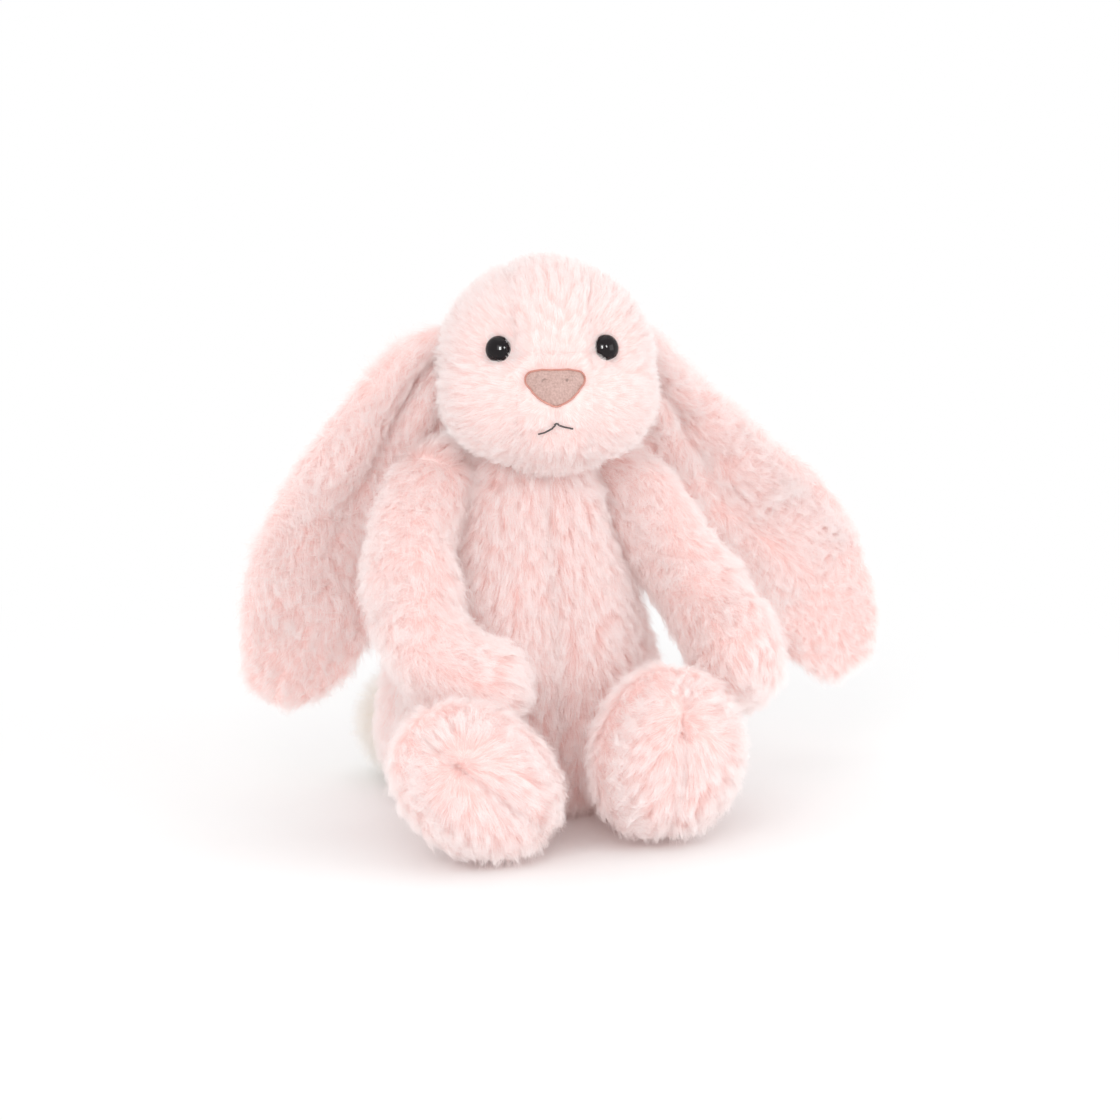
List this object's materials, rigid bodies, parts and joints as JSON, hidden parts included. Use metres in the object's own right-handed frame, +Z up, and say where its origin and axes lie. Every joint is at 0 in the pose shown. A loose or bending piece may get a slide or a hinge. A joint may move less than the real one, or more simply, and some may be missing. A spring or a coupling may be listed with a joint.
{
  "type": "stuffed bunny rabbit",
  "caption": "Soft stuffed toy rabbit that sits with long drooping ears, round head, sewn nose, bead eyes, hanging arms, upright feet and a round tail.",
  "frame": {"origin": "centre of the flat seat panel, on the surface the toy sits on", "axes": "+Z up, the belly and feet face -Y, the toy's own left side is +X"},
  "size_m": [0.2436, 0.157, 0.202],
  "materials": {
    "pink_plush": "matte",
    "cream_plush": "matte",
    "polyester_stuffing": "matte",
    "pouch_cloth": "matte",
    "plastic_pellets": "satin",
    "black_eye": "gloss",
    "white_washer": "matte",
    "nose_suede": "matte",
    "dark_thread": "satin",
    "pink_thread": "satin",
    "label_satin": "satin"
  },
  "bodies": {
    "torso": {"torso_front_left": "pink_plush", "torso_front_right": "pink_plush", "torso_back_left": "pink_plush", "torso_back_right": "pink_plush", "torso_base": "pink_plush", "torso_stuffing": "polyester_stuffing", "seat_pellet_pouch": "pouch_cloth", "seat_pellets": "plastic_pellets", "neck_gather_thread": "pink_thread", "back_closing_stitch": "pink_thread", "care_label": "label_satin"},
    "neck": {"neck_stuffing": "polyester_stuffing"},
    "head": {"head_side_left": "pink_plush", "head_side_right": "pink_plush", "head_gusset": "pink_plush", "head_chin": "pink_plush", "head_stuffing": "polyester_stuffing", "eye_left": "black_eye", "eye_right": "black_eye", "eye_washer_left": "white_washer", "eye_washer_right": "white_washer", "nose_patch": "nose_suede", "mouth_stitch": "dark_thread"},
    "ear_left": {"ear_left_front": "pink_plush", "ear_left_back": "pink_plush"},
    "ear_right": {"ear_right_front": "pink_plush", "ear_right_back": "pink_plush"},
    "arm_left": {"arm_left_front": "pink_plush", "arm_left_back": "pink_plush", "arm_left_stuffing": "polyester_stuffing"},
    "arm_right": {"arm_right_front": "pink_plush", "arm_right_back": "pink_plush", "arm_right_stuffing": "polyester_stuffing"},
    "leg_left": {"leg_left_outer": "pink_plush", "leg_left_inner": "pink_plush", "leg_left_stuffing": "polyester_stuffing", "foot_left_pellet_pouch": "pouch_cloth"},
    "leg_right": {"leg_right_outer": "pink_plush", "leg_right_inner": "pink_plush", "leg_right_stuffing": "polyester_stuffing", "foot_right_pellet_pouch": "pouch_cloth"},
    "tail": {"tail_cover": "cream_plush", "tail_stuffing": "polyester_stuffing"}
  },
  "joints": [
    {"name": "head_turn", "type": "hinge", "parent": "torso", "child": "neck", "pos_m": [0, -0.012, 0.126], "axis": [0, 0, 1], "range_deg": [-6, 6]},
    {"name": "head_nod", "type": "hinge", "parent": "neck", "child": "head", "pos_m": [0, -0.012, 0.126], "axis": [0.9681, -0.2504, 0], "range_deg": [-7, 14], "stiffness_Nm_per_rad": 0.6},
    {"name": "ear_left_lift", "type": "hinge", "parent": "head", "child": "ear_left", "pos_m": [0.0545, -0.02, 0.16], "axis": [0, -1, 0], "range_deg": [0, 100]},
    {"name": "ear_right_lift", "type": "hinge", "parent": "head", "child": "ear_right", "pos_m": [-0.0515, -0.008, 0.16], "axis": [0, 1, 0], "range_deg": [0, 100]},
    {"name": "arm_left_raise", "type": "hinge", "parent": "torso", "child": "arm_left", "pos_m": [0.033, -0.008, 0.1215], "axis": [-1, 0, 0], "range_deg": [0, 65]},
    {"name": "arm_right_raise", "type": "hinge", "parent": "torso", "child": "arm_right", "pos_m": [-0.033, -0.008, 0.1215], "axis": [-1, 0, 0], "range_deg": [0, 65]},
    {"name": "leg_left_swing", "type": "hinge", "parent": "torso", "child": "leg_left", "pos_m": [0.031, -0.037, 0.019], "axis": [1, 0, 0], "range_deg": [0, 80]},
    {"name": "leg_right_swing", "type": "hinge", "parent": "torso", "child": "leg_right", "pos_m": [-0.031, -0.037, 0.019], "axis": [1, 0, 0], "range_deg": [0, 80]},
    {"name": "tail_wag", "type": "hinge", "parent": "torso", "child": "tail", "pos_m": [-0.019, 0.027, 0.022], "axis": [0, 0, 1], "range_deg": [-6, 6]}
  ]
}
